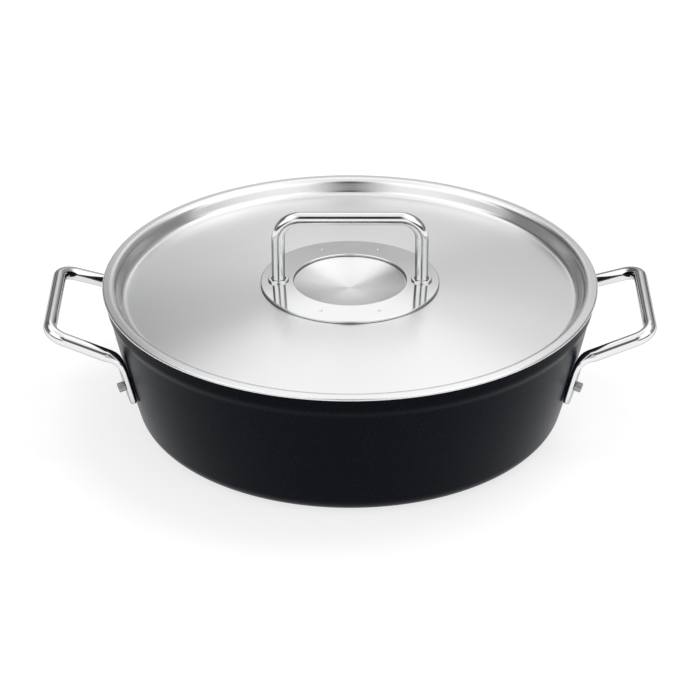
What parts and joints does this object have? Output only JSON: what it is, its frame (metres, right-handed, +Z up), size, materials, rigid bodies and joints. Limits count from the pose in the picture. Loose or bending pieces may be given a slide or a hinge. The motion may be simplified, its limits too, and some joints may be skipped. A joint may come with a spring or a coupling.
{
  "type": "cooking pot",
  "caption": "Shallow round cooking pot with a black coated body, bent-wire side handles riveted to the wall, and a lift-off brushed steel lid with a wire handle on a ring plate.",
  "frame": {"origin": "under the middle of the pan, on the surface it stands on", "axes": "+Z up, +X from the pan's axis to the right handle, so the side handles lie along X"},
  "size_m": [0.3604, 0.294, 0.1303],
  "materials": {
    "black_coating": "black non-stick coating with fine sparkle, satin, over forged aluminium",
    "ground_steel": "ground in circles",
    "polished_steel": "mirror polished stainless steel",
    "satin_steel": "satin stainless steel",
    "brushed_steel": "brushed in circles"
  },
  "bodies": {
    "pan": {"pan_body": "black_coating", "induction_disc": "ground_steel", "left_handle": "polished_steel", "right_handle": "polished_steel", "left_front_rivet": "satin_steel", "left_rear_rivet": "satin_steel", "right_front_rivet": "satin_steel", "right_rear_rivet": "satin_steel"},
    "lid": {"lid_shell": "brushed_steel", "lid_ring_plate": "polished_steel", "lid_handle": "polished_steel"}
  },
  "joints": [
    {"name": "lid_lift", "type": "slide", "parent": "pan", "child": "lid", "axis": [0, 0, 1], "range_m": [0, 0.15]}
  ]
}
